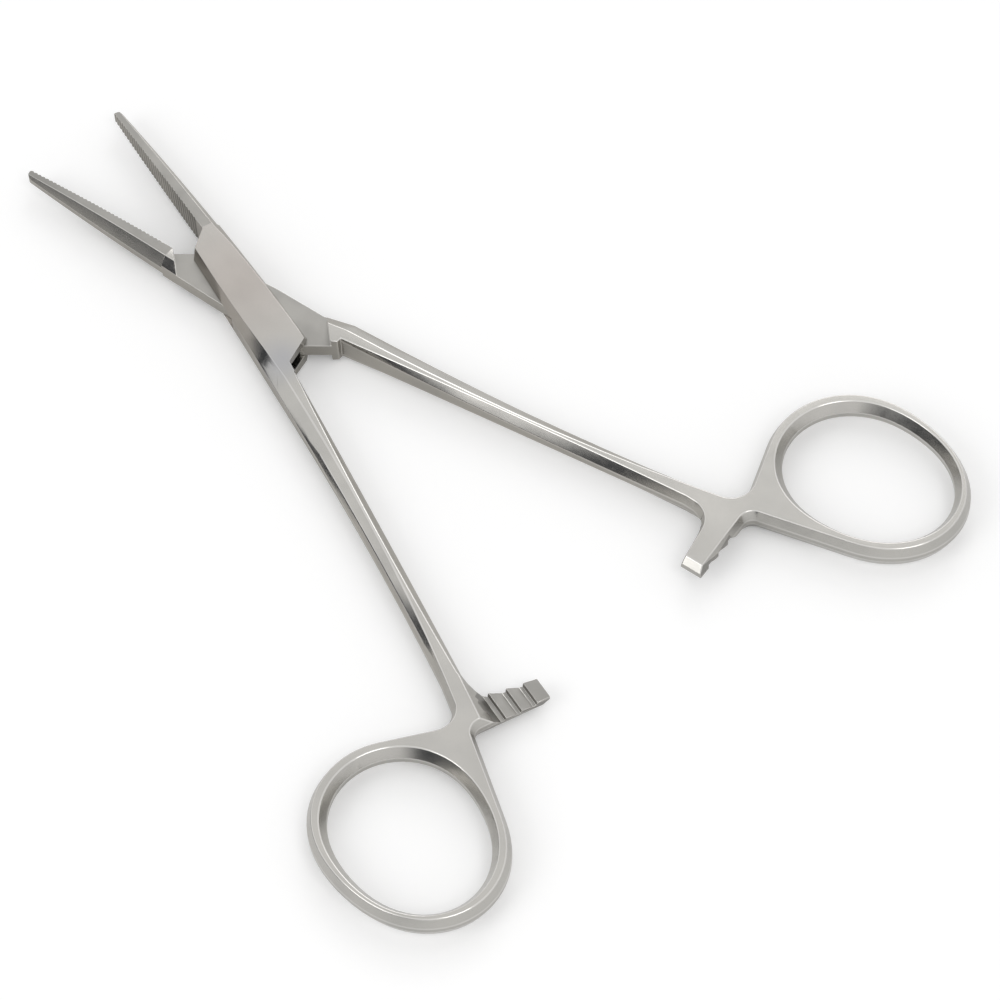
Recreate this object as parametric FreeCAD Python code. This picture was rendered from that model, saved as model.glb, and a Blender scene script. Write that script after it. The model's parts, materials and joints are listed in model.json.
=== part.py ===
import FreeCAD, Part
import math
import os

# Straight box-lock hemostat. All lengths are in millimetres and all angles in degrees.
# Each arm is drawn closed: the pivot is at X = 0, Y = 0, the grip line lies along X, the jaw
# is at negative X and negative Y, and the shank and ring are at positive X and positive Y.
# That is the tongue arm as it stands. The box arm is its mirror image across the grip line.
# Heights in the drawing are measured from the mid-plane of the forceps.

# Opening
REST_OPENING = 21.6

# Jaws
JAW_REACH = 35.8
JAW_HEEL = 12.4
TIP_WIDTH = 1.0
HEEL_WIDTH = 2.4
TIP_HALF_HEIGHT = 0.75
MID_JAW_HALF_HEIGHT = 1.7
HEEL_HALF_HEIGHT = 2.1
TIP_LAND = 0.75
HEEL_LAND = 1.45
TIP_FLANK = 0.3
HEEL_FLANK = 0.5
TIP_NOSE_RADIUS = 0.7
SERRATION_PITCH = 0.64
SERRATION_DEPTH = 0.2
SERRATION_MARGIN = 1.2
GRIP_GAP = 0.06

# Box lock
BOX_HALF_HEIGHT = 2.5
BOX_FLAT_REACH = 8.0
BOX_FLANK = 0.95
JAW_SIDE_EDGE = 2.75
SHANK_SIDE_EDGE = 3.45
LEAF_SLOPE = 0.65
LEAF_HEEL_SET = 0.2
LEAF_END_REACH = 9.3
LEAF_END_RUN = 2.3
LEAF_CORNER_RADIUS = 0.9
TONGUE_THICKNESS = 1.8
TONGUE_PLAY = 0.05
TONGUE_SIDE_EDGE = 3.15
TONGUE_SIDE_END = 9.0
TONGUE_SHOULDER = 9.3
TONGUE_SHOULDER_WIDTH = 2.2
TONGUE_SIDE_PLAY = 0.15
SHANK_SHOULDER = 12.6
WEDGE_START = 1.4

# Pivot
PIN_RADIUS = 1.2
PIN_PLAY = 0.05

# Shanks
SHANK_START = 13.2
SHANK_END = 61.0
INNER_EDGE_AT_BOX = 1.15
INNER_EDGE_AT_WAIST = 3.65
INNER_EDGE_AT_RING = 6.25
OUTER_EDGE_AT_BOX = 4.25
OUTER_EDGE_AT_WAIST = 6.25
OUTER_EDGE_AT_RING = 8.95
HALF_HEIGHT_AT_BOX = 1.8
HALF_HEIGHT_AT_WAIST = 1.6
INNER_BEVEL_AT_BOX = 0.1
INNER_BEVEL_AT_WAIST = 0.85
OUTER_BEVEL_AT_BOX = 1.6
OUTER_BEVEL_AT_WAIST = 1.5
INNER_FLANK_AT_BOX = 1.3
INNER_FLANK_AT_WAIST = 0.6
OUTER_FLANK_AT_BOX = 0.95
OUTER_FLANK_AT_WAIST = 0.25
OUTER_RIDGE_SET_AT_BOX = 0.6
OUTER_RIDGE_SET_AT_WAIST = 0.42
OUTER_RIDGE_HEIGHT_AT_BOX = 1.27
OUTER_RIDGE_HEIGHT = 0.95
WAIST = 38.0

# Finger rings
RING_X = 76.5
RING_Y = 22.1
RING_LENGTH = 26.0
RING_WIDTH = 21.2
RING_HOLE_X = 76.6
RING_HOLE_Y = 22.15
RING_HOLE_LENGTH = 21.5
RING_HOLE_WIDTH = 17.1
RING_FULLNESS = 0.018
RING_EGG = 0.05
RING_LEAN = 4.0
RING_HALF_HEIGHT = 1.6
RING_BEVEL = 0.55
RING_HOLE_BEVEL = 0.85
RING_FLANK = 0.35
OUTER_CROTCH = (66.95, 10.2)
OUTER_CROTCH_RADIUS = 2.4
RING_CROTCH = (68.4, 9.1)
RING_CROTCH_RADIUS = 1.3
SHANK_CROTCH = (64.4, 6.15)
SHANK_CROTCH_RADIUS = 2.8

# Ratchet
RATCHET_NEAR_X = 65.9
RATCHET_FAR_X = 68.8
RATCHET_TIP = 1.0
TOOTH_COUNT = 3
TOOTH_PITCH = 2.05
TOOTH_HEIGHT = 0.55
FIRST_TOOTH = 0.8
TOOTH_PLAY = 0.06
TIP_CHAMFER = 0.8
ROOT_EDGE = 6.7
ROOT_EDGE_RISE = 1.6

# Working values
STATIONS = 9
RING_POINTS = 41
OVERRUN = 4.0
HALF_TONGUE = TONGUE_THICKNESS / 2
HALF_SLOT = HALF_TONGUE + TONGUE_PLAY
HALF_OPENING = REST_OPENING / 2


def through(x, *points):
    """The value at x of the smooth curve through a few (place, value) points."""
    total = 0.0
    for i, (xi, vi) in enumerate(points):
        share = vi
        for j, (xj, _) in enumerate(points):
            if j != i:
                share *= (x - xj) / (xi - xj)
        total += share
    return total


def spaced(start, end, count):
    """Evenly spaced places from start to end."""
    return [start + (end - start) * i / (count - 1) for i in range(count)]


def polygon(points, z):
    """A closed flat wire through (x, y) points at one height."""
    corners = [FreeCAD.Vector(x, y, z) for x, y in points]
    return Part.makePolygon(corners + corners[:1])


def prism(points, z_low, z_high):
    """A straight solid over a plan outline of (x, y) points."""
    face = Part.Face(polygon(points, z_low))
    return face.extrude(FreeCAD.Vector(0, 0, z_high - z_low))


def cross_bar(points, x_low, x_high):
    """A straight solid along X over a side outline of (y, z) points."""
    corners = [FreeCAD.Vector(x_low, y, z) for y, z in points]
    face = Part.Face(Part.makePolygon(corners + corners[:1]))
    return face.extrude(FreeCAD.Vector(x_high - x_low, 0, 0))


def section(x, low, high, low_bevel, high_bevel, low_flank, high_flank, top, ridge_set=0.0, ridge=0.0):
    """A bevelled cross-section at x, the same above and below the mid-plane.

    A ridge set in from the high side gives that side a second, steeper bevel.
    """
    upper = [(high, high_flank), (high - high_bevel, top), (low + low_bevel, top), (low, low_flank)]
    if ridge > 0:
        upper.insert(1, (high - ridge_set, ridge))
    lower = [(y, -z) for y, z in reversed(upper)]
    corners = [FreeCAD.Vector(x, y, z) for y, z in upper + lower]
    return Part.makePolygon(corners + corners[:1])


def jaw_edge(x):
    """The outer edge of the jaw, which runs on into the box."""
    return through(x, (-JAW_REACH, -TIP_WIDTH), (-JAW_HEEL, -HEEL_WIDTH), (0, -JAW_SIDE_EDGE))


def shank_inner_edge(x):
    """The edge of the shank that faces the other shank."""
    return through(x, (SHANK_START, INNER_EDGE_AT_BOX), (WAIST, INNER_EDGE_AT_WAIST),
                   (SHANK_END, INNER_EDGE_AT_RING))


def shank_outer_edge(x):
    """The edge of the shank that faces away from the other shank."""
    return through(x, (0, SHANK_SIDE_EDGE), (SHANK_START, OUTER_EDGE_AT_BOX),
                   (WAIST, OUTER_EDGE_AT_WAIST), (SHANK_END, OUTER_EDGE_AT_RING))


def jaw_blank():
    """The jaw from its tip to its heel: flat towards the other jaw, bevelled on its back."""
    tip, heel = -JAW_REACH, -JAW_HEEL
    wires = []
    for x in spaced(tip, heel, STATIONS):
        edge = jaw_edge(x)
        land = through(x, (tip, TIP_LAND), (heel, HEEL_LAND))
        flank = through(x, (tip, TIP_FLANK), (heel, HEEL_FLANK))
        top = through(x, (tip, TIP_HALF_HEIGHT), ((tip + heel) / 2, MID_JAW_HALF_HEIGHT),
                      (heel, HEEL_HALF_HEIGHT))
        wires.append(section(x, edge, 0.0, -edge - land, 0.0, flank, flank, top))
    jaw = Part.makeLoft(wires, True, True)
    return jaw.common(nose_envelope())


def nose_envelope():
    """The plan outline that rounds the back of the jaw tip."""
    left = -JAW_REACH
    radius = TIP_NOSE_RADIUS
    arc = Part.Arc(FreeCAD.Vector(left, -TIP_WIDTH + radius, -OVERRUN),
                   FreeCAD.Vector(left + radius * (1 - math.cos(math.pi / 4)),
                                  -TIP_WIDTH + radius * (1 - math.sin(math.pi / 4)), -OVERRUN),
                   FreeCAD.Vector(left + radius, -TIP_WIDTH, -OVERRUN)).toShape()
    right = -JAW_HEEL + OVERRUN
    rest = Part.makePolygon([FreeCAD.Vector(left + radius, -TIP_WIDTH, -OVERRUN),
                             FreeCAD.Vector(left + 2 * radius, -2 * HEEL_WIDTH, -OVERRUN),
                             FreeCAD.Vector(right, -2 * HEEL_WIDTH, -OVERRUN),
                             FreeCAD.Vector(right, HEEL_WIDTH, -OVERRUN),
                             FreeCAD.Vector(left, HEEL_WIDTH, -OVERRUN),
                             FreeCAD.Vector(left, -TIP_WIDTH + radius, -OVERRUN)])
    outline = Part.Wire([arc] + rest.Edges)
    return Part.Face(outline).extrude(FreeCAD.Vector(0, 0, 2 * OVERRUN))


def box_blank():
    """The thick middle of an arm, before its ends are cut and its slot or recesses are made."""
    heel = -JAW_HEEL
    places = [heel, -BOX_FLAT_REACH, -BOX_FLAT_REACH / 2, 0, BOX_FLAT_REACH / 2, BOX_FLAT_REACH,
              SHANK_START]
    wires = []
    for x in places:
        low = jaw_edge(x) if x < 0 else -JAW_SIDE_EDGE
        high = shank_outer_edge(x)
        if x < -BOX_FLAT_REACH:
            top = HEEL_HALF_HEIGHT
        elif x > BOX_FLAT_REACH:
            top = HALF_HEIGHT_AT_BOX
        else:
            top = BOX_HALF_HEIGHT
        low_bevel = through(x, (heel, HEEL_WIDTH - HEEL_LAND), (0, LEAF_SLOPE), (SHANK_START, LEAF_SLOPE))
        high_bevel = through(x, (heel, LEAF_SLOPE), (0, LEAF_SLOPE), (SHANK_START, OUTER_BEVEL_AT_BOX))
        wires.append(section(x, low, high, low_bevel, high_bevel, BOX_FLANK, BOX_FLANK, top))
    return Part.makeLoft(wires, True, True)


def shank_blank():
    """The tapering, bevelled shank from the box to the ring."""
    wires = []
    for x in spaced(SHANK_START, SHANK_END, STATIONS):
        def along(at_box, at_waist, at_ring):
            return through(x, (SHANK_START, at_box), (WAIST, at_waist), (SHANK_END, at_ring))
        wires.append(section(
            x, shank_inner_edge(x), shank_outer_edge(x),
            along(INNER_BEVEL_AT_BOX, INNER_BEVEL_AT_WAIST, RING_BEVEL),
            along(OUTER_BEVEL_AT_BOX, OUTER_BEVEL_AT_WAIST, RING_BEVEL),
            along(INNER_FLANK_AT_BOX, INNER_FLANK_AT_WAIST, RING_FLANK),
            along(OUTER_FLANK_AT_BOX, OUTER_FLANK_AT_WAIST, RING_FLANK),
            along(HALF_HEIGHT_AT_BOX, HALF_HEIGHT_AT_WAIST, RING_HALF_HEIGHT),
            along(OUTER_RIDGE_SET_AT_BOX, OUTER_RIDGE_SET_AT_WAIST, RING_BEVEL / 2),
            along(OUTER_RIDGE_HEIGHT_AT_BOX, OUTER_RIDGE_HEIGHT, (RING_HALF_HEIGHT + RING_FLANK) / 2)))
    return Part.makeLoft(wires, True, True)


def unit(a, b):
    """The direction from point a to point b."""
    length = math.hypot(b[0] - a[0], b[1] - a[1])
    return ((b[0] - a[0]) / length, (b[1] - a[1]) / length)


def moved_in(before, corner, after, inset):
    """A corner of a clockwise outline, moved inside it by the same inset from both of its sides."""
    u, v = unit(before, corner), unit(corner, after)
    n1, n2 = (u[1], -u[0]), (v[1], -v[0])
    scale = inset / (1 + n1[0] * n2[0] + n1[1] * n2[1])
    return (corner[0] + scale * (n1[0] + n2[0]), corner[1] + scale * (n1[1] + n2[1]))


def on_oval(angle, centre, half_length, half_width, lean=0.0):
    """A point on a ring oval: an ellipse, but fuller between its axes and broader towards the shank."""
    turned = angle + math.radians(lean)
    across, along = math.sin(turned), math.cos(turned)
    ellipse = half_length * half_width / math.hypot(half_width * along, half_length * across)
    radius = ellipse * (1 + RING_FULLNESS * math.sin(2 * turned) ** 2 - RING_EGG * along * across ** 2)
    return (centre[0] + radius * math.cos(angle), centre[1] + radius * math.sin(angle))


def on_ring(angle, inset):
    """A point on the ring's outer oval, moved in by an inset."""
    return on_oval(angle, (RING_X, RING_Y), RING_LENGTH / 2 - inset, RING_WIDTH / 2 - inset, RING_LEAN)


def tangent_angle(point, inset, side):
    """The angle at the ring's centre where a line from a point outside touches the outer oval."""
    near = math.atan2(point[1] - RING_Y, point[0] - RING_X)
    far = near + side * math.pi / 2
    step = 0.001
    for _ in range(40):
        middle = (near + far) / 2
        a, b = on_ring(middle - step, inset), on_ring(middle + step, inset)
        turn = (a[0] - point[0]) * (b[1] - a[1]) - (a[1] - point[1]) * (b[0] - a[0])
        if turn < 0:
            near = middle
        else:
            far = middle
    return (near + far) / 2


def smooth_curve(points, z, closed=False):
    """A smooth edge through points at one height."""
    curve = Part.BSplineCurve()
    curve.interpolate(Points=[FreeCAD.Vector(x, y, z) for x, y in points], PeriodicFlag=closed)
    return curve.toShape()


def rounded(before, corner, after, radius, z):
    """The arc that rounds a corner, with its two end points."""
    u, v = unit(corner, before), unit(corner, after)
    half = math.acos(u[0] * v[0] + u[1] * v[1]) / 2
    reach = radius / math.tan(half)
    start = (corner[0] + u[0] * reach, corner[1] + u[1] * reach)
    end = (corner[0] + v[0] * reach, corner[1] + v[1] * reach)
    middle_x, middle_y = u[0] + v[0], u[1] + v[1]
    length = math.hypot(middle_x, middle_y)
    depth = radius / math.sin(half) - radius
    middle = (corner[0] + middle_x / length * depth, corner[1] + middle_y / length * depth)
    arc = Part.Arc(FreeCAD.Vector(*start, z), FreeCAD.Vector(*middle, z), FreeCAD.Vector(*end, z))
    return arc.toShape(), start, end


def line(a, b, z):
    """A straight edge at one height."""
    return Part.LineSegment(FreeCAD.Vector(*a, z), FreeCAD.Vector(*b, z)).toShape()


def ring_outline(inset, z):
    """The outline of ring, crotches and ratchet bar, moved in by an inset, at one height."""
    first = on_ring(tangent_angle(OUTER_CROTCH, 0.0, -1), 0.0)
    last = on_ring(tangent_angle(RING_CROTCH, 0.0, 1), 0.0)
    inner_start = (SHANK_END, INNER_EDGE_AT_RING)
    outer_start = (SHANK_END, OUTER_EDGE_AT_RING)
    far_tip = (RATCHET_FAR_X, -RATCHET_TIP)
    near_tip = (RATCHET_NEAR_X, -RATCHET_TIP)

    outer = moved_in(outer_start, OUTER_CROTCH, first, inset)
    ring = moved_in(last, RING_CROTCH, far_tip, inset)
    shank = moved_in(near_tip, SHANK_CROTCH, inner_start, inset)
    bar_inset = min(inset, RING_BEVEL / 2)
    far_tip = (RATCHET_FAR_X - bar_inset, -RATCHET_TIP)
    near_tip = (RATCHET_NEAR_X + bar_inset, -RATCHET_TIP)
    outer_start = (SHANK_END, OUTER_EDGE_AT_RING - inset)
    inner_start = (SHANK_END, INNER_EDGE_AT_RING + inset)

    from_angle = tangent_angle(outer, inset, -1) + 2 * math.pi
    to_angle = tangent_angle(ring, inset, 1)
    first = on_ring(from_angle, inset)
    last = on_ring(to_angle, inset)
    around = smooth_curve([on_ring(angle, inset) for angle in spaced(to_angle, from_angle, RING_POINTS)], z)

    outer_arc, outer_in, outer_out = rounded(outer_start, outer, first, OUTER_CROTCH_RADIUS + inset, z)
    ring_arc, ring_in, ring_out = rounded(last, ring, far_tip, RING_CROTCH_RADIUS + inset, z)
    shank_arc, shank_in, shank_out = rounded(near_tip, shank, inner_start, SHANK_CROTCH_RADIUS + inset, z)
    edges = [line(outer_start, outer_in, z), outer_arc, line(outer_out, first, z), around,
             line(last, ring_in, z), ring_arc, line(ring_out, far_tip, z), line(far_tip, near_tip, z),
             line(near_tip, shank_in, z), shank_arc, line(shank_out, inner_start, z),
             line(inner_start, outer_start, z)]
    return Part.Wire(edges)


def hole_outline(inset, z):
    """The outline of the ring's hole, widened by an inset, at one height."""
    points = [on_oval(angle, (RING_HOLE_X, RING_HOLE_Y), RING_HOLE_LENGTH / 2 + inset, RING_HOLE_WIDTH / 2 + inset)
              for angle in spaced(0, 2 * math.pi, RING_POINTS)]
    return Part.Wire(smooth_curve(points[:-1], z, True))


def stacked(wire_at, bevel):
    """A solid that is upright between its flanks and bevelled to its top and bottom faces."""
    heights = [(bevel, -RING_HALF_HEIGHT), (0.0, -RING_FLANK), (0.0, RING_FLANK), (bevel, RING_HALF_HEIGHT)]
    layers = []
    for (inset_a, z_a), (inset_b, z_b) in zip(heights, heights[1:]):
        layers.append(Part.makeLoft([wire_at(inset_a, z_a), wire_at(inset_b, z_b)], True, True))
    return layers[0].multiFuse(layers[1:])


def ring_and_ratchet_blank():
    """The ring with its crotches and the plain ratchet bar."""
    return stacked(ring_outline, RING_BEVEL).cut(stacked(hole_outline, RING_HOLE_BEVEL))


def ratchet_cutter():
    """The space below the ratchet bar, with its step teeth, for a bar with teeth underneath."""
    crest = TOOTH_PLAY
    valley = TOOTH_PLAY + TOOTH_HEIGHT
    below = -RING_HALF_HEIGHT - OVERRUN
    root = FIRST_TOOTH + (TOOTH_COUNT - 1) * TOOTH_PITCH
    foot = root + TOOTH_PITCH / 4
    start, end = SHANK_END, RATCHET_FAR_X + 2 * RING_CROTCH_RADIUS
    ramps = []
    for x, top in ((start, ROOT_EDGE), (end, ROOT_EDGE + ROOT_EDGE_RISE)):
        corners = [(root, valley), (foot, valley), (top, -RING_HALF_HEIGHT), (top, below), (root, below)]
        ramps.append(Part.makePolygon([FreeCAD.Vector(x, y, z) for y, z in corners + corners[:1]]))
    ramp = Part.makeLoft(ramps, True, True)
    profile = [(foot, valley)]
    for i in range(TOOTH_COUNT - 1, -1, -1):
        face = FIRST_TOOTH + i * TOOTH_PITCH
        profile.append((face, valley))
        profile.append((face - TOOTH_HEIGHT / 4, crest))
        if i > 0:
            profile.append((face - TOOTH_PITCH * 0.8, valley))
    profile.append((-RATCHET_TIP - OVERRUN, crest))
    profile.append((-RATCHET_TIP - OVERRUN, below))
    profile.append((foot, below))
    return cross_bar(profile, start, end).fuse(ramp)


def tip_cutter():
    """The bevel on the top of the ratchet bar's end."""
    top = RING_HALF_HEIGHT
    end = -RATCHET_TIP
    return cross_bar([(end + TIP_CHAMFER, top), (end, top - TIP_CHAMFER), (end - OVERRUN, top - TIP_CHAMFER),
                      (end - OVERRUN, top + OVERRUN), (end + TIP_CHAMFER, top + OVERRUN)],
                     RATCHET_NEAR_X - SHANK_CROTCH_RADIUS, RATCHET_FAR_X + RING_CROTCH_RADIUS)


def serration_cutter(phase, heel):
    """The space in front of a serrated grip face, up to the heel, with the teeth in one of two phases."""
    mean = -GRIP_GAP / 2
    half = SERRATION_DEPTH / 2
    start = -JAW_REACH - SERRATION_PITCH
    end = -JAW_HEEL - SERRATION_MARGIN
    count = int((end - start) / SERRATION_PITCH)
    points = [(start - OVERRUN, mean)]
    for i in range(count):
        x = start + i * SERRATION_PITCH
        points.append((x, mean - half * phase))
        points.append((x + SERRATION_PITCH / 2, mean + half * phase))
    last = start + count * SERRATION_PITCH
    points.append((last, mean - half * phase))
    points.append((last + SERRATION_PITCH / 4, mean))
    points.append((-heel, mean))
    points.append((-heel, OVERRUN))
    points.append((start - OVERRUN, OVERRUN))
    return prism(points, -OVERRUN, OVERRUN)


def tongue_corners():
    """The hidden corners of the tongue: it narrows from mid-box to its two shoulders."""
    slope = (TONGUE_SIDE_EDGE - TONGUE_SHOULDER_WIDTH) / (TONGUE_SHOULDER + WEDGE_START)
    middle = TONGUE_SHOULDER_WIDTH + slope * TONGUE_SHOULDER
    return middle, slope


def tongue_trim():
    """The three plan areas that are cut away beside the tongue."""
    middle, slope = tongue_corners()
    at_wedge = middle + slope * WEDGE_START
    jaw_side = [(-JAW_HEEL, 0), (-TONGUE_SHOULDER, TONGUE_SHOULDER_WIDTH), (WEDGE_START, at_wedge),
                (WEDGE_START, 2 * JAW_HEEL), (-JAW_HEEL - OVERRUN, 2 * JAW_HEEL), (-JAW_HEEL - OVERRUN, 0)]
    run = JAW_HEEL - TONGUE_SHOULDER
    rise = TONGUE_SHOULDER_WIDTH + INNER_EDGE_AT_BOX
    end_x = TONGUE_SHOULDER + run * rise / TONGUE_SHOULDER_WIDTH
    shank_side = [(end_x, INNER_EDGE_AT_BOX), (TONGUE_SHOULDER, -TONGUE_SHOULDER_WIDTH),
                  (-WEDGE_START, -at_wedge), (-WEDGE_START, -2 * JAW_HEEL), (SHANK_END, -2 * JAW_HEEL),
                  (SHANK_END, -JAW_HEEL), (SHANK_START, INNER_EDGE_AT_BOX)]
    back = [(0, TONGUE_SIDE_EDGE), (TONGUE_SIDE_END, TONGUE_SIDE_EDGE), (SHANK_START, OUTER_EDGE_AT_BOX),
            (SHANK_START, 2 * JAW_HEEL), (0, 2 * JAW_HEEL)]
    tall = BOX_HALF_HEIGHT + OVERRUN
    return [prism(jaw_side, -tall, tall), prism(shank_side, -tall, tall), prism(back, -tall, tall)]


def back_bevel():
    """The space above the bevel that carries the shank's outer edge on to the tongue."""
    tall = BOX_HALF_HEIGHT + OVERRUN
    fall = (BOX_HALF_HEIGHT - HALF_HEIGHT_AT_BOX) / (SHANK_START - BOX_FLAT_REACH)
    side_end_top = BOX_HALF_HEIGHT - fall * (TONGUE_SIDE_END - BOX_FLAT_REACH)
    wires = []
    for x, edge, top in ((0, TONGUE_SIDE_EDGE, BOX_HALF_HEIGHT), (TONGUE_SIDE_END, TONGUE_SIDE_EDGE, side_end_top),
                         (SHANK_START, OUTER_EDGE_AT_BOX, HALF_HEIGHT_AT_BOX)):
        inside = edge - OUTER_BEVEL_AT_BOX
        corners = [(edge, BOX_FLANK), (inside, top), (inside, tall), (edge + OVERRUN, tall),
                   (edge + OVERRUN, BOX_FLANK)]
        wires.append(Part.makePolygon([FreeCAD.Vector(x, y, z) for y, z in corners + corners[:1]]))
    return Part.makeLoft(wires, True, True)


def recess_cutter():
    """The plan band between the tongue arm's two shoulders, above or below the tongue."""
    reach = 2 * JAW_HEEL
    return [(-JAW_HEEL - reach, reach), (-JAW_HEEL + reach, -reach),
            (SHANK_SHOULDER + reach, -reach), (SHANK_SHOULDER - reach, reach)]


def leaf_trim():
    """The two plan areas that are cut away at the slanted ends of the box arm's leaves."""
    heel = JAW_HEEL - LEAF_HEEL_SET
    reach = JAW_HEEL
    jaw_side = [(-heel, 0), (-heel + reach, reach), (-JAW_HEEL - OVERRUN, reach), (-JAW_HEEL - OVERRUN, 0)]
    end = (LEAF_END_REACH + LEAF_END_RUN, shank_inner_edge(LEAF_END_REACH + LEAF_END_RUN))
    corner = (LEAF_END_REACH, -JAW_SIDE_EDGE)
    low = -2 * JAW_SIDE_EDGE
    tall = BOX_HALF_HEIGHT + OVERRUN
    arc, on_end, on_side = rounded(end, corner, (0, -JAW_SIDE_EDGE), LEAF_CORNER_RADIUS, -tall)
    around = [end, on_end, on_side, (on_side[0], low), (SHANK_END, low), (SHANK_END, 0),
              (SHANK_START, INNER_EDGE_AT_BOX), end]
    edges = [line(a, b, -tall) for a, b in zip(around, around[1:])]
    edges[1] = arc
    shank_side = Part.Face(Part.Wire(edges)).extrude(FreeCAD.Vector(0, 0, 2 * tall))
    return [prism(jaw_side, -tall, tall), shank_side]


def slot_cutter():
    """The slot through the box arm: it holds the tongue at every opening up to the widest."""
    middle, slope = tongue_corners()
    side = middle - slope * WEDGE_START + TONGUE_SIDE_PLAY
    corner = (TONGUE_SHOULDER + TONGUE_SIDE_PLAY, TONGUE_SHOULDER_WIDTH + TONGUE_SIDE_PLAY)
    far = JAW_HEEL + TONGUE_SIDE_PLAY
    beyond = 2 * JAW_HEEL
    half = [(WEDGE_START, beyond), (WEDGE_START, side), corner, (far, 0), (beyond, 0), (beyond, -beyond)]
    outline = half[:5] + [(-x, -y) for x, y in half[:5]]
    return prism(outline, -HALF_SLOT, HALF_SLOT)


def blank_arm(trims):
    """One arm with its ring and plain ratchet bar, trimmed around the box."""
    box = box_blank()
    for trim in trims:
        box = box.cut(trim)
    return box.multiFuse([jaw_blank(), shank_blank(), ring_and_ratchet_blank()])


def tongue_arm():
    """The arm whose thin tongue passes through the other arm's box."""
    bevel = back_bevel()
    below = bevel.mirror(FreeCAD.Vector(0, 0, 0), FreeCAD.Vector(0, 0, 1))
    arm = blank_arm(tongue_trim() + [bevel, below])
    band = recess_cutter()
    tall = BOX_HALF_HEIGHT + OVERRUN
    arm = arm.cut(prism(band, HALF_TONGUE, tall)).cut(prism(band, -tall, -HALF_TONGUE))
    arm = arm.cut(serration_cutter(1, JAW_HEEL))
    arm = arm.cut(ratchet_cutter()).cut(tip_cutter())
    bore = Part.makeCylinder(PIN_RADIUS + PIN_PLAY, 2 * tall, FreeCAD.Vector(0, 0, -tall))
    return arm.cut(bore).removeSplitter()


def box_arm():
    """The slotted arm, drawn as the mirror image of its true place until its last step."""
    arm = blank_arm(leaf_trim())
    arm = arm.cut(slot_cutter())
    arm = arm.cut(serration_cutter(-1, JAW_HEEL - LEAF_HEEL_SET))
    flip = FreeCAD.Vector(0, 0, 1)
    centre = FreeCAD.Vector(0, 0, 0)
    arm = arm.cut(ratchet_cutter().mirror(centre, flip)).cut(tip_cutter().mirror(centre, flip))
    tall = BOX_HALF_HEIGHT + OVERRUN
    arm = arm.cut(Part.makeCylinder(PIN_RADIUS, 2 * tall, FreeCAD.Vector(0, 0, -tall)))
    return arm.removeSplitter().mirror(centre, FreeCAD.Vector(0, 1, 0))


def pivot_pin():
    """The pin that joins the two leaves through the tongue, ground flush on both sides."""
    return Part.makeCylinder(PIN_RADIUS, 2 * BOX_HALF_HEIGHT, FreeCAD.Vector(0, 0, -BOX_HALF_HEIGHT))


def placed(shape, turn):
    """A shape turned about the pivot and raised so that the lower leaf rests at height zero."""
    shape = shape.copy()
    shape.rotate(FreeCAD.Vector(0, 0, 0), FreeCAD.Vector(0, 0, 1), turn)
    shape.translate(FreeCAD.Vector(0, 0, BOX_HALF_HEIGHT))
    return shape


def main():
    """Write one file for each piece, with the forceps open as it rests."""
    pieces = {"female_arm": placed(box_arm(), -HALF_OPENING),
              "male_arm": placed(tongue_arm(), HALF_OPENING),
              "pivot_pin": placed(pivot_pin(), -HALF_OPENING)}
    for name, shape in pieces.items():
        print(name, "solids", len(shape.Solids), "valid", shape.isValid(), "volume", round(shape.Volume, 1))
        shape.exportStep("parts/" + name + ".step")


os.makedirs("parts", exist_ok=True)
main()
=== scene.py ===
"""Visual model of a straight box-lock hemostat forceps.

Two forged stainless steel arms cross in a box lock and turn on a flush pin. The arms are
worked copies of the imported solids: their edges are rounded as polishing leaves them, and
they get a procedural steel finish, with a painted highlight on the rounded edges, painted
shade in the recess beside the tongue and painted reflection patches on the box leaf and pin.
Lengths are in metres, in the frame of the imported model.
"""

import json
import logging
import math
from dataclasses import dataclass, field
from enum import Enum
from typing import Any, Optional

import bpy
from mathutils import Euler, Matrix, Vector

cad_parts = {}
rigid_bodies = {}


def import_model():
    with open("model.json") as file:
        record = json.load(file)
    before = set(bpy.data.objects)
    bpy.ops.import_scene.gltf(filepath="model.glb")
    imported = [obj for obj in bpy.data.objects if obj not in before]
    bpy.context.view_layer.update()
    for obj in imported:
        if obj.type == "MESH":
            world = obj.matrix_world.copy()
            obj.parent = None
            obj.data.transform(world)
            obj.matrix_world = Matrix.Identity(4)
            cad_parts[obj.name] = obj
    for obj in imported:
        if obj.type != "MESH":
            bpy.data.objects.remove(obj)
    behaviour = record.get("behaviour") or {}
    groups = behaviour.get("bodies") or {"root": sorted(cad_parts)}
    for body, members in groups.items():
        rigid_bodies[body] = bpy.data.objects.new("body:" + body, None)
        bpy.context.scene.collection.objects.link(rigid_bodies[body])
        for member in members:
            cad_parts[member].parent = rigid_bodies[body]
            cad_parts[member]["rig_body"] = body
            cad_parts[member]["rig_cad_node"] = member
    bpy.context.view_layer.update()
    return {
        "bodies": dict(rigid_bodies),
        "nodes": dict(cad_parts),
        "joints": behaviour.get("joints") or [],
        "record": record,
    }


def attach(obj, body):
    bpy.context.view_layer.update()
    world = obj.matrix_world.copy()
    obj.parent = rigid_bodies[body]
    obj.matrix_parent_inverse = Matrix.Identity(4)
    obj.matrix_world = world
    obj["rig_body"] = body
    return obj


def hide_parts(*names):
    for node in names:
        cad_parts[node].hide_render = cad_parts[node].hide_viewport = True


LOG = logging.getLogger("hemostat")
MM = 0.001
HALF_OPENING_DEG = 10.8
PIVOT_HEIGHT = 2.5 * MM

Colour = tuple[float, float, float]
Point = tuple[float, float, float]


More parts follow.
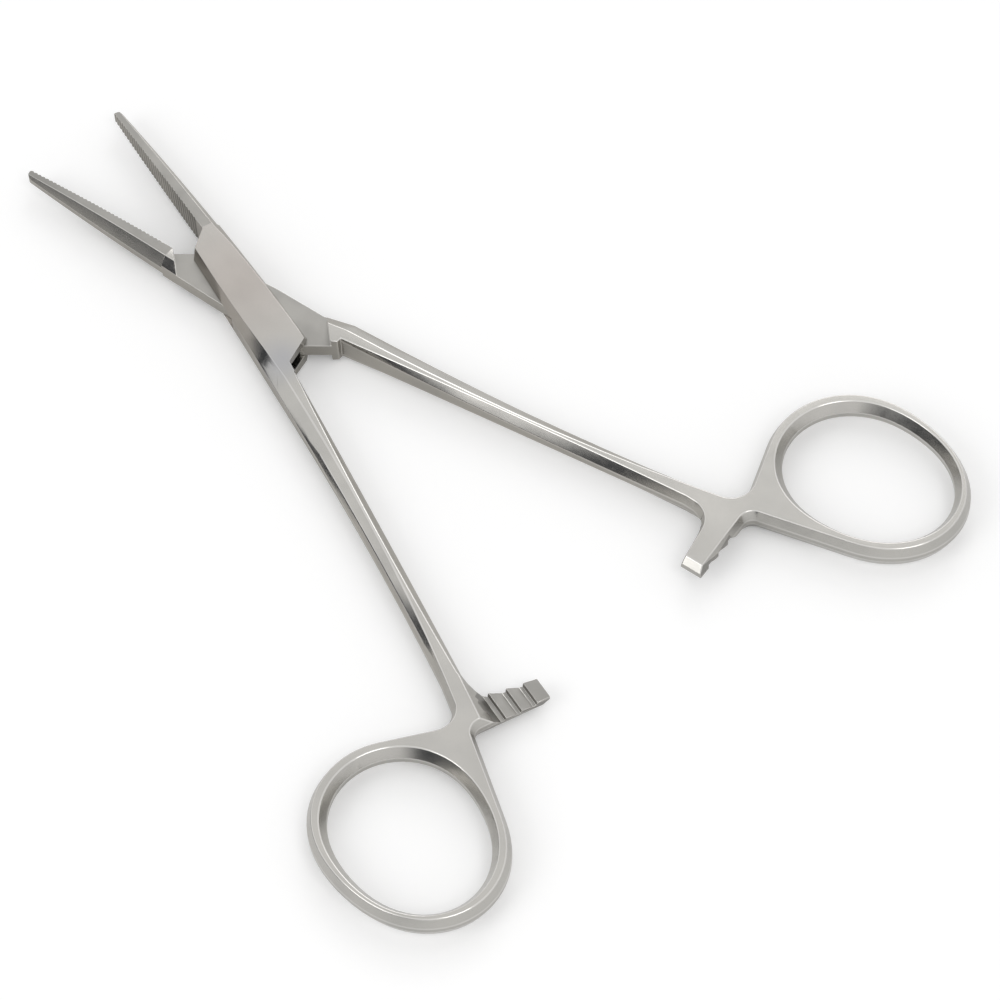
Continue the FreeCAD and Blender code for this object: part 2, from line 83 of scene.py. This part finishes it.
class ArmSide(Enum):
    """Which of the two arms a piece belongs to."""

    BOX = "female"
    TONGUE = "male"

    @property
    def node(self) -> str:
        """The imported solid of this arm."""
        return self.value + "_arm"

    @property
    def turn(self) -> float:
        """How far the arm is turned about the pivot at rest, in radians."""
        sign = -1.0 if self is ArmSide.BOX else 1.0
        return math.radians(sign * HALF_OPENING_DEG)


class EdgeKind(Enum):
    """How strongly an edge was rounded in grinding, as a share of the widest rounding."""

    TOOTH = 0.15
    LEAF = 0.25
    SHANK = 0.6


def activate(piece: bpy.types.Object) -> None:
    """Make a piece the only selected and active object.

    Args:
        piece: The object to work on.
    """
    if bpy.context.object is not None and bpy.context.object.mode != "OBJECT":
        bpy.ops.object.mode_set(mode="OBJECT")
    bpy.ops.object.select_all(action="DESELECT")
    piece.select_set(True)
    bpy.context.view_layer.objects.active = piece


class NodeBench:
    """A workbench for the shader nodes of one material or world."""

    def __init__(self, tree: bpy.types.NodeTree) -> None:
        """Start from an empty tree.

        Args:
            tree: The node tree to fill.
        """
        self.tree = tree
        tree.nodes.clear()

    def add(self, kind: str, inputs: Optional[dict[Any, Any]] = None, **settings: Any) -> bpy.types.Node:
        """Add a node.

        Args:
            kind: The node's type name, without the ShaderNode prefix.
            inputs: Values or output sockets for the node's inputs, by name or number.
            settings: Properties of the node itself.

        Returns:
            The new node.
        """
        node = self.tree.nodes.new("ShaderNode" + kind)
        for name, value in settings.items():
            setattr(node, name, value)
        for key, value in (inputs or {}).items():
            if isinstance(value, bpy.types.NodeSocket):
                self.tree.links.new(value, node.inputs[key])
            else:
                node.inputs[key].default_value = value
        return node

    def maths(self, operation: str, a: Any, b: Any = 0.0, clamp: bool = False) -> bpy.types.NodeSocket:
        """Add a maths node.

        Args:
            operation: The name of the operation.
            a: The first value or socket.
            b: The second value or socket.
            clamp: Whether the result is kept between 0 and 1.

        Returns:
            The result's socket.
        """
        return self.add("Math", {0: a, 1: b}, operation=operation, use_clamp=clamp).outputs[0]

    def remap(self, value: Any, low: float, high: float, to_low: float, to_high: float) -> bpy.types.NodeSocket:
        """Map a value smoothly from one range onto another.

        Args:
            value: The socket to map.
            low: Where the source range starts.
            high: Where the source range ends.
            to_low: The result at the start.
            to_high: The result at the end.

        Returns:
            The mapped value's socket.
        """
        inputs = {"Value": value, 1: low, 2: high, 3: to_low, 4: to_high}
        return self.add("MapRange", inputs, interpolation_type="SMOOTHSTEP").outputs[0]

    def blend(self, share: Any, a: Any, b: Any) -> bpy.types.NodeSocket:
        """Mix two colours.

        Args:
            share: How much of the second colour shows.
            a: The first colour or socket.
            b: The second colour or socket.

        Returns:
            The mixed colour's socket.
        """
        pair = [value if isinstance(value, bpy.types.NodeSocket) else (*value, 1.0) for value in (a, b)]
        node = self.add("Mix", {0: share, 6: pair[0], 7: pair[1]}, data_type="RGBA")
        return node.outputs[2]

    def noise(self, place: Any, scale: float, detail: float = 3.0, rough: float = 0.5) -> bpy.types.NodeSocket:
        """Add a noise texture.

        Args:
            place: The coordinates' socket.
            scale: Cells in a metre.
            detail: How many finer layers it has.
            rough: How strong the finer layers are.

        Returns:
            The noise value's socket.
        """
        inputs = {"Vector": place, "Scale": scale, "Detail": detail, "Roughness": rough}
        return self.add("TexNoise", inputs).outputs[0]


@dataclass(frozen=True)
class ReflectionPatch:
    """A soft patch of painted reflection: another tone blended into the steel's colour round a point."""

    centre: Point
    reach: float
    colour: Colour
    strength: float


@dataclass(frozen=True)
class SteelFinish:
    """Stainless steel, ground along the arm and polished."""

    name: str
    turn: float
    tone: Colour = (0.515, 0.502, 0.474)
    second_tone: Colour = (0.462, 0.452, 0.428)
    roughness: tuple[float, float] = (0.17, 0.27)
    ripple_scale: float = 210.0
    ripple_depth: float = 0.10
    grain_depth: float = 0.06
    scratch_depth: float = 0.08
    # Patches of painted reflection, blended into the colour.
    reflection_patches: tuple[ReflectionPatch, ...] = ()

    def material(self) -> bpy.types.Material:
        """Make the finish.

        Returns:
            The procedural material.
        """
        steel = bpy.data.materials.new(self.name)
        steel.use_nodes = True
        bench = NodeBench(steel.node_tree)
        place = bench.add("TexCoord").outputs["Object"]
        shader = bench.add("BsdfPrincipled", {
            "Metallic": 1.0,
            "Base Color": self._colour(bench, place),
            "Roughness": self._roughness(bench, place),
            "Normal": self._relief(bench, place),
        })
        bench.add("OutputMaterial", {"Surface": shader.outputs[0]})
        return steel

    def _along(self, bench: NodeBench, place: bpy.types.NodeSocket, stretch: Point) -> bpy.types.NodeSocket:
        """Coordinates along the arm, so that grinding marks follow it.

        Args:
            bench: The node tree's workbench.
            place: The object coordinates.
            stretch: The scale along, across and up the arm.

        Returns:
            The turned and stretched coordinates.
        """
        turned = bench.add("Mapping", {"Vector": place, "Rotation": (0.0, 0.0, -self.turn)})
        return bench.add("Mapping", {"Vector": turned.outputs[0], "Scale": stretch}).outputs[0]

    def _colour(self, bench: NodeBench, place: bpy.types.NodeSocket) -> bpy.types.NodeSocket:
        """The steel's tone with its slow random changes and its patches of painted reflection.

        Args:
            bench: The node tree's workbench.
            place: The object coordinates.

        Returns:
            The colour's socket.
        """
        cloud = bench.remap(bench.noise(place, 130.0), 0.35, 0.7, 0.0, 1.0)
        colour = bench.blend(cloud, self.tone, self.second_tone)
        # Painted reflection: each patch blends its colour in at full strength at its centre, fading to nothing
        # at its reach.
        for painted_patch in self.reflection_patches:
            away = bench.add("VectorMath", {0: place, 1: painted_patch.centre}, operation="DISTANCE").outputs["Value"]
            soft = bench.remap(away, 0.0, painted_patch.reach, painted_patch.strength, 0.0)
            colour = bench.blend(soft, colour, painted_patch.colour)
        return colour

    def _roughness(self, bench: NodeBench, place: bpy.types.NodeSocket) -> bpy.types.NodeSocket:
        """The polish, with duller patches from handling.

        Args:
            bench: The node tree's workbench.
            place: The object coordinates.

        Returns:
            The roughness socket.
        """
        low, high = self.roughness
        wear = bench.noise(place, 260.0, 5.0, 0.6)
        grain = bench.noise(self._along(bench, place, (900.0, 9000.0, 9000.0)), 1.0, 2.0)
        mixed = bench.maths("ADD", bench.maths("MULTIPLY", wear, 0.7), bench.maths("MULTIPLY", grain, 0.3))
        return bench.remap(mixed, 0.3, 0.7, low, high)

    def _relief(self, bench: NodeBench, place: bpy.types.NodeSocket) -> bpy.types.NodeSocket:
        """The slow waves of hand polishing, the fine grinding grain and a few scratches.

        Args:
            bench: The node tree's workbench.
            place: The object coordinates.

        Returns:
            The normal's socket.
        """
        wave = bench.noise(place, self.ripple_scale, 1.0, 0.4)
        ripple = bench.add("Bump", {"Height": wave, "Distance": 0.4 * MM, "Strength": self.ripple_depth})
        grain = bench.noise(self._along(bench, place, (500.0, 14000.0, 14000.0)), 1.0, 2.0)
        ground = bench.add("Bump", {"Height": grain, "Distance": 0.02 * MM, "Strength": self.grain_depth,
                                    "Normal": ripple.outputs[0]})
        line = bench.noise(self._along(bench, place, (900.0, 160.0, 700.0)), 2.0, 6.0, 0.7)
        scratch = bench.remap(line, 0.66, 0.7, 1.0, 0.0)
        marked = bench.add("Bump", {"Height": scratch, "Distance": 0.01 * MM, "Strength": self.scratch_depth,
                                    "Normal": ground.outputs[0]})
        return marked.outputs[0]


@dataclass
class ForgedArm:
    """One forged and polished arm: jaw, box part, shank, ratchet bar and finger ring."""

    side: ArmSide
    name: str
    finish: SteelFinish
    # The rounded edges' finish: a smoother polish, with a lighter tone that is a painted highlight.
    edge_polish_and_highlight: SteelFinish
    # The ground finish: darker and rougher; in the recess beside the tongue its darker tone is painted shade.
    ground_and_shade_finish: SteelFinish
    widest_rounding: float = 0.20 * MM
    rounding_steps: int = 3
    merge_distance: float = 0.002 * MM
    sliver: float = 0.012 * MM
    joint_slack: float = 0.01 * MM
    box_half_length: float = 13.1 * MM
    flat_angle: float = math.radians(0.3)
    sharp_angle: float = math.radians(17.0)
    smooth_angle: float = math.radians(35.0)
    smooth_weight: int = 60
    ring_start: float = 64.0 * MM
    ratchet_reach: float = 6.6 * MM
    jaw_end: float = -13.6 * MM
    jaw_tip: float = -34.2 * MM
    grip_depth: float = 0.35 * MM
    ground_half_height: float = 0.93 * MM
    steepest_ground: float = 0.2
    box_end: float = 12.0 * MM
    ring_centre: tuple[float, float] = (76.3 * MM, 22.1 * MM)
    ring_reach: float = 16.0 * MM
    ring_cuts: tuple[float, ...] = (111.5, 144.5, 178.0)
    bore_edge: float = 1.35 * MM
    bore_reach: float = 2.5 * MM
    bore_cuts: tuple[float, ...] = (30.0, 90.0, 150.0)
    piece: Optional[bpy.types.Object] = field(default=None, init=False)

    def build(self, frame: dict[str, Any]) -> bpy.types.Object:
        """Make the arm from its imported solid.

        Args:
            frame: The loaded frame.

        Returns:
            The finished arm.
        """
        self.piece = self._copy_solid(frame["nodes"][self.side.node])
        self._clean_mesh()
        self._mark_edges()
        self._round_edges()
        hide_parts(self.side.node)
        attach(self.piece, self.side.value)
        LOG.info("%s: %d faces", self.name, len(self.piece.data.polygons))
        return self.piece

    def _copy_solid(self, solid: bpy.types.Object) -> bpy.types.Object:
        """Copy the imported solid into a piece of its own.

        Args:
            solid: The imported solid's object.

        Returns:
            The copy, with its own mesh.
        """
        activate(solid)
        bpy.ops.object.duplicate()
        copy = bpy.context.object
        copy.parent = None
        copy.name = copy.data.name = self.name
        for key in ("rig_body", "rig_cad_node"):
            del copy[key]
        copy.data.materials.clear()
        # Slots: 0 the faces, 1 the rounded edges with their painted highlight, 2 the ground faces with painted
        # shade in the recess.
        for finish in (self.finish, self.edge_polish_and_highlight, self.ground_and_shade_finish):
            copy.data.materials.append(finish.material())
        return copy

    def _clean_mesh(self) -> None:
        """Join the loose triangles and merge those that lie in one plane."""
        activate(self.piece)
        bpy.ops.object.mode_set(mode="EDIT")
        bpy.ops.mesh.select_all(action="SELECT")
        bpy.ops.mesh.remove_doubles(threshold=self.merge_distance)
        bpy.ops.mesh.customdata_custom_splitnormals_clear()
        bpy.ops.object.mode_set(mode="OBJECT")
        self._cut_sectors(self.ring_centre, self.ring_reach, self.ring_cuts)
        self._cut_sectors((0.0, 0.0), self.bore_reach, self.bore_cuts)
        self._hold_joints()
        bpy.ops.object.mode_set(mode="EDIT")
        bpy.ops.mesh.select_all(action="SELECT")
        bpy.ops.mesh.dissolve_limited(angle_limit=self.flat_angle, delimit={"SEAM"})
        bpy.ops.mesh.select_all(action="SELECT")
        bpy.ops.mesh.dissolve_degenerate(threshold=self.sliver)
        bpy.ops.object.mode_set(mode="OBJECT")
        self._mark_ground_and_shaded_faces()

    def _hold_joints(self) -> None:
        """Keep the lines across jaw, shank and ring, so that slightly bent faces aren't merged."""
        mesh = self.piece.data
        for edge in mesh.edges:
            start, end = (self._in_arm(mesh.vertices[v].co) for v in edge.vertices)
            straight_across = abs(start.x - end.x) < self.joint_slack
            outside_box = abs(start.x) > self.box_half_length
            if straight_across and outside_box:
                edge.use_seam = True

    def _mark_ground_and_shaded_faces(self) -> None:
        """Give the grip teeth, the ratchet teeth and the recess beside the tongue the darker, rougher ground
        finish; in the recess the darker tone is painted shade from the leaf over it.
        """
        for face in self.piece.data.polygons:
            place = self._in_arm(face.center)
            inside = abs(place.z - PIVOT_HEIGHT) < self.ground_half_height
            level = abs(face.normal.z) > self.steepest_ground
            grip = place.x < self.jaw_end and place.y > -self.grip_depth
            tooth = place.x > self.ring_start and place.y < self.ratchet_reach
            # The recess beside the tongue, where the darker ground finish is painted shade from the leaf over
            # it.
            recess = abs(place.x) < -self.jaw_end
            if grip or (inside and level and (tooth or recess)):
                face.material_index = 2

    def _cut_sectors(self, centre: tuple[float, float], reach: float, cuts: tuple[float, ...]) -> None:
        """Cut the faces round a hole into sectors, so that no flat face has a hole in it.

        Args:
            centre: The hole's centre in the arm's own drawing.
            reach: How far from the centre faces are cut.
            cuts: The directions of the cuts through the centre, in degrees of the drawing.
        """
        mesh = self.piece.data
        middle = self._from_arm(centre)
        mirrored = -1.0 if self.side is ArmSide.BOX else 1.0
        for cut in cuts:
            for face in mesh.polygons:
                away = [Vector(mesh.vertices[v].co - middle).to_2d().length for v in face.vertices]
                face.select = min(away) < reach
            angle = self.side.turn + mirrored * math.radians(cut)
            bpy.ops.object.mode_set(mode="EDIT")
            bpy.ops.mesh.bisect(plane_co=middle, plane_no=(-math.sin(angle), math.cos(angle), 0.0))
            bpy.ops.mesh.mark_seam()
            bpy.ops.object.mode_set(mode="OBJECT")

    def _from_arm(self, point: tuple[float, float]) -> Vector:
        """A place of the arm's own drawing, at rest and half way up.

        Args:
            point: The place in the drawing, with the shank on the positive side.

        Returns:
            The place at rest.
        """
        y = -point[1] if self.side is ArmSide.BOX else point[1]
        place = Vector((point[0], y, PIVOT_HEIGHT))
        place.rotate(Euler((0.0, 0.0, self.side.turn)))
        return place

    def _in_arm(self, point: Vector) -> Vector:
        """A point in the arm's own drawing, where the arm is closed and its grip line is along X.

        Args:
            point: A point at rest.

        Returns:
            The point turned back about the pivot, with the shank on the positive side.
        """
        turned = Vector(point)
        turned.rotate(Euler((0.0, 0.0, -self.side.turn)))
        if self.side is ArmSide.BOX:
            turned.y = -turned.y
        return turned

    def _kind(self, point: Vector) -> EdgeKind:
        """What an edge belongs to.

        Args:
            point: The edge's middle at rest.

        Returns:
            The kind of edge.
        """
        place = self._in_arm(point)
        if place.x < self.jaw_tip or (place.x < self.jaw_end and place.y > -self.grip_depth):
            return EdgeKind.TOOTH
        if place.x > self.ring_start and place.y < self.ratchet_reach:
            return EdgeKind.TOOTH if abs(place.z - PIVOT_HEIGHT) < self.ground_half_height else EdgeKind.SHANK
        return EdgeKind.LEAF if place.x < self.box_end else EdgeKind.SHANK

    def _mark_edges(self) -> None:
        """Give each crease its share of the rounding."""
        mesh = self.piece.data
        corners = mesh.vertices
        weights = mesh.attributes.new("bevel_weight_edge", "FLOAT", "EDGE")
        beside: dict[tuple[int, int], list[Vector]] = {}
        for face in mesh.polygons:
            for key in face.edge_keys:
                beside.setdefault(key, []).append(face.normal)
        for edge in mesh.edges:
            normals = beside.get(edge.key, [])
            middle = (corners[edge.vertices[0]].co + corners[edge.vertices[1]].co) / 2
            if middle.to_2d().length < self.bore_edge or len(normals) != 2:
                continue
            if normals[0].angle(normals[1], 0.0) > self.sharp_angle:
                weights.data[edge.index].value = self._kind(middle).value

    def _round_edges(self) -> None:
        """Round the marked creases and shade the faces smoothly."""
        activate(self.piece)
        bevel = self.piece.modifiers.new("rounding", "BEVEL")
        bevel.limit_method = "WEIGHT"
        bevel.width = self.widest_rounding
        bevel.segments = self.rounding_steps
        bevel.use_clamp_overlap = False
        bevel.loop_slide = False
        # The rounding gets slot 1, the edge finish with its painted highlight.
        bevel.material = 1
        bpy.ops.object.modifier_apply(modifier=bevel.name)
        bpy.ops.object.shade_smooth_by_angle(angle=self.smooth_angle)
        smooth = self.piece.modifiers.new("flat faces", "WEIGHTED_NORMAL")
        smooth.keep_sharp = True
        smooth.weight = self.smooth_weight
        bpy.ops.object.modifier_apply(modifier=smooth.name)


@dataclass
class PivotPin:
    """The pin of the box lock, ground flush and polished with the leaves."""

    finish: SteelFinish
    node: str = "pivot_pin"

    def dress(self, frame: dict[str, Any]) -> bpy.types.Object:
        """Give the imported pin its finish.

        Args:
            frame: The loaded frame.

        Returns:
            The pin.
        """
        pin = frame["nodes"][self.node]
        pin.data.materials.clear()
        pin.data.materials.append(self.finish.material())
        LOG.info("%s: dressed", self.node)
        return pin


@dataclass(frozen=True)
class SoftLamp:
    """A square lamp whose face looks as bright as its level, where 1 is white."""

    name: str
    place: Point
    size: float
    level: float

    def hang(self, aim: Point) -> None:
        """Hang the lamp and turn it.

        Args:
            aim: Where it points.
        """
        light = bpy.data.lights.new(self.name, "AREA")
        light.size = self.size
        light.energy = self.level * math.pi * self.size * self.size
        lamp = bpy.data.objects.new(self.name, light)
        lamp.location = self.place
        way = Vector(aim) - Vector(self.place)
        lamp.rotation_euler = way.to_track_quat("-Z", "Y").to_euler()
        lamp.visible_camera = False
        bpy.context.scene.collection.objects.link(lamp)


@dataclass
class Studio:
    """A white table, a white room, soft lamps and the grey cards that polished steel reflects."""

    floor_size: float = 3.0
    floor_colour: Colour = (0.93, 0.93, 0.93)
    floor_lift: float = 0.14
    room_level: float = 0.72
    band_radius: float = 1.4
    band_height: float = 0.56
    band_gap: float = 0.02
    band_fade_start: float = 0.1
    band_colour: Colour = (0.025, 0.028, 0.036)
    pale_band: Colour = (0.95, 0.95, 0.95)
    card_sides: int = 96
    sheet_radius: float = 1.38
    sheet_height: float = 0.01 * MM
    sheet_near: Colour = (0.74, 0.725, 0.70)
    sheet_far: Colour = (0.03, 0.033, 0.042)
    sheet_fade: tuple[float, float] = (0.04, 0.085)
    dark_side_deg: float = -112.0
    dark_half_width: tuple[float, float] = (0.35, 0.75)
    aim: Point = (0.03, 0.0, 0.0)
    lamps: tuple[SoftLamp, ...] = (
        SoftLamp("key", (0.62, -0.10, 0.80), 0.42, 2.3),
        SoftLamp("side", (-0.10, -0.75, 0.62), 0.5, 1.6),
        SoftLamp("back", (-0.55, 0.75, 0.70), 0.5, 1.5),
    )

    def build(self) -> None:
        """Set up the floor, the cards, the lamps and the world."""
        self._floor()
        self._grey_sheet()
        self._dark_band()
        self._world()
        for lamp in self.lamps:
            lamp.hang(self.aim)
        LOG.info("studio: ready")

    def _floor(self) -> None:
        """Lay the table top."""
        bpy.ops.object.select_all(action="DESELECT")
        bpy.ops.mesh.primitive_plane_add(size=self.floor_size, location=(0.0, 0.0, 0.0))
        floor = bpy.context.object
        floor.name = "table_top"
        paint = bpy.data.materials.new("white_table")
        paint.use_nodes = True
        bench = NodeBench(paint.node_tree)
        seen = bench.add("LightPath").outputs["Is Camera Ray"]
        shader = bench.add("BsdfDiffuse", {"Color": (*self.floor_colour, 1.0)})
        lift = bench.add("Emission", {"Strength": bench.maths("MULTIPLY", seen, self.floor_lift)})
        both = bench.add("AddShader", {0: shader.outputs[0], 1: lift.outputs[0]})
        bench.add("OutputMaterial", {"Surface": both.outputs[0]})
        floor.data.materials.append(paint)
        floor.visible_glossy = False

    def _grey_sheet(self) -> None:
        """Lay a grey sheet on the table, darker further out, that only reflections show."""
        bpy.ops.object.select_all(action="DESELECT")
        bpy.ops.mesh.primitive_circle_add(vertices=self.card_sides, radius=self.sheet_radius, fill_type="NGON",
                                          location=(0.0, 0.0, self.sheet_height))
        sheet = bpy.context.object
        sheet.name = "grey_sheet"
        paint = bpy.data.materials.new("grey_sheet")
        paint.use_nodes = True
        bench = NodeBench(paint.node_tree)
        place = bench.add("TexCoord").outputs["Object"]
        away = bench.add("VectorMath", {0: place}, operation="LENGTH").outputs["Value"]
        far = bench.remap(away, *self.sheet_fade, 0.0, 1.0)
        dark = bench.maths("MULTIPLY", far, self._dark_side(bench, place))
        pale = bench.blend(far, self.sheet_near, self.floor_colour)
        shader = bench.add("BsdfDiffuse", {"Color": bench.blend(dark, pale, self.sheet_far)})
        bench.add("OutputMaterial", {"Surface": shader.outputs[0]})
        sheet.data.materials.append(paint)
        self._only_reflected(sheet)

    def _dark_side(self, bench: NodeBench, place: bpy.types.NodeSocket) -> bpy.types.NodeSocket:
        """How far a place lies towards the dark side of the room.

        Args:
            bench: The node tree's workbench.
            place: The place's coordinates.

        Returns:
            The share of darkness, from 0 to 1.
        """
        angle = math.radians(self.dark_side_deg)
        level = bench.add("VectorMath", {0: place, 1: (1.0, 1.0, 0.0)}, operation="MULTIPLY").outputs[0]
        towards = bench.add("VectorMath", {0: level}, operation="NORMALIZE").outputs[0]
        side = bench.add("VectorMath", {0: towards, 1: (math.cos(angle), math.sin(angle), 0.0)},
                         operation="DOT_PRODUCT").outputs["Value"]
        return bench.remap(side, *self.dark_half_width, 0.0, 1.0)

    @staticmethod
    def _only_reflected(card: bpy.types.Object) -> None:
        """Hide a card from everything but reflections.

        Args:
            card: The card.
        """
        card.visible_camera = False
        card.visible_diffuse = False
        card.visible_shadow = False
        card.visible_transmission = False

    def _dark_band(self) -> None:
        """Stand a dark card round the table, low down, that only reflections show."""
        bpy.ops.object.select_all(action="DESELECT")
        half = self.band_height / 2
        bpy.ops.mesh.primitive_cylinder_add(vertices=self.card_sides, radius=self.band_radius,
                                            depth=self.band_height, end_fill_type="NOTHING",
                                            location=(0.0, 0.0, half + self.band_gap))
        band = bpy.context.object
        band.name = "dark_card"
        card = bpy.data.materials.new("dark_card")
        card.use_nodes = True
        bench = NodeBench(card.node_tree)
        place = bench.add("TexCoord").outputs["Object"]
        height = bench.add("SeparateXYZ", {0: place}).outputs["Z"]
        share = bench.remap(height, half * self.band_fade_start, half, 0.0, 1.0)
        low = bench.maths("SUBTRACT", 1.0, share)
        dark = bench.maths("MULTIPLY", low, self._dark_side(bench, place))
        colour = bench.blend(dark, self.pale_band, self.band_colour)
        glow = bench.add("Emission", {"Color": colour, "Strength": 1.0})
        bench.add("OutputMaterial", {"Surface": glow.outputs[0]})
        band.data.materials.append(card)
        self._only_reflected(band)

    def _world(self) -> None:
        """Make the room white to the eye and in reflections, and a little dimmer as a light."""
        world = bpy.data.worlds.new("white_room")
        world.use_nodes = True
        bench = NodeBench(world.node_tree)
        path = bench.add("LightPath")
        seen = bench.maths("MAXIMUM", path.outputs["Is Camera Ray"], path.outputs["Is Glossy Ray"])
        seen = bench.maths("MAXIMUM", seen, path.outputs["Is Transmission Ray"])
        level = bench.remap(seen, 0.0, 1.0, self.room_level, 1.0)
        room = bench.add("Background", {"Color": (1.0, 1.0, 1.0, 1.0), "Strength": level})
        bench.add("OutputWorld", {"Surface": room.outputs[0]})
        bpy.context.scene.world = world


@dataclass
class PhotoCamera:
    """The camera at the photograph's viewing angle."""

    place: Point = (0.28691, -0.19125, 0.43662)
    turn_deg: Point = (35.578, 2.403, 48.183)
    lens: float = 162.0
    sensor: float = 36.0
    nearest: float = 0.01

    def build(self) -> None:
        """Put the camera in the scene."""
        data = bpy.data.cameras.new("camera")
        data.lens = self.lens
        data.sensor_width = self.sensor
        data.clip_start = self.nearest
        camera = bpy.data.objects.new("camera", data)
        camera.location = self.place
        camera.rotation_euler = Euler([math.radians(angle) for angle in self.turn_deg])
        bpy.context.scene.collection.objects.link(camera)
        bpy.context.scene.camera = camera
        LOG.info("camera: ready")


def arm_finish(side: ArmSide, reflection_patches: tuple[ReflectionPatch, ...] = ()) -> tuple[SteelFinish, SteelFinish, SteelFinish]:
    """The finishes of an arm's faces, of its rounded edges with a painted highlight, and of its ground faces
    with painted shade in the recess.

    Args:
        side: Which arm it is.
        reflection_patches: Patches of painted reflection.

    Returns:
        The faces' finish, the edges' finish with its painted highlight, and the ground finish with its painted
        shade in the recess.
    """
    faces = SteelFinish(side.value + "_satin_steel", side.turn, reflection_patches=reflection_patches)
    # Painted highlight: the rounded edges get a lighter tone than the faces, besides their smoother polish.
    edges = SteelFinish(side.value + "_polished_edge_and_highlight", side.turn, tone=(0.64, 0.626, 0.60),
                        second_tone=(0.58, 0.569, 0.548), roughness=(0.12, 0.2), grain_depth=0.02, reflection_patches=reflection_patches)
    # Darker, rougher ground finish: a duller ground surface on the teeth, and painted shade in the recess
    # beside the tongue.
    ground = SteelFinish(side.value + "_ground_steel_and_shade", side.turn, tone=(0.36, 0.35, 0.33),
                         second_tone=(0.29, 0.283, 0.268), roughness=(0.34, 0.46), grain_depth=0.2)
    return faces, edges, ground


def main() -> None:
    """Build the forceps and its studio."""
    logging.basicConfig(level=logging.INFO, format="%(name)s: %(message)s")
    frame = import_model()
    bpy.ops.object.select_all(action="DESELECT")

    # Painted reflections on the box arm and the pin: a darker warm patch over the box leaf and a small bluish
    # patch near its end, standing in for the surroundings that the flat leaf reflects.
    leaf_dark_reflection = ReflectionPatch((-2.5 * MM, 0.4 * MM, 5.0 * MM), 16.0 * MM, (0.43, 0.40, 0.372), 0.95)
    leaf_blue_reflection = ReflectionPatch((10.5 * MM, -3.8 * MM, 4.6 * MM), 4.5 * MM, (0.36, 0.372, 0.41), 0.5)
    ForgedArm(ArmSide.BOX, "box_arm_forging", *arm_finish(ArmSide.BOX, (leaf_dark_reflection, leaf_blue_reflection))).build(frame)
    ForgedArm(ArmSide.TONGUE, "tongue_arm_forging", *arm_finish(ArmSide.TONGUE)).build(frame)
    PivotPin(SteelFinish("pin_satin_steel", ArmSide.BOX.turn, reflection_patches=(leaf_dark_reflection, leaf_blue_reflection))).dress(frame)

    Studio().build()
    PhotoCamera().build()
    bpy.context.scene.view_settings.view_transform = "Standard"


if __name__ == "__main__":
    main()
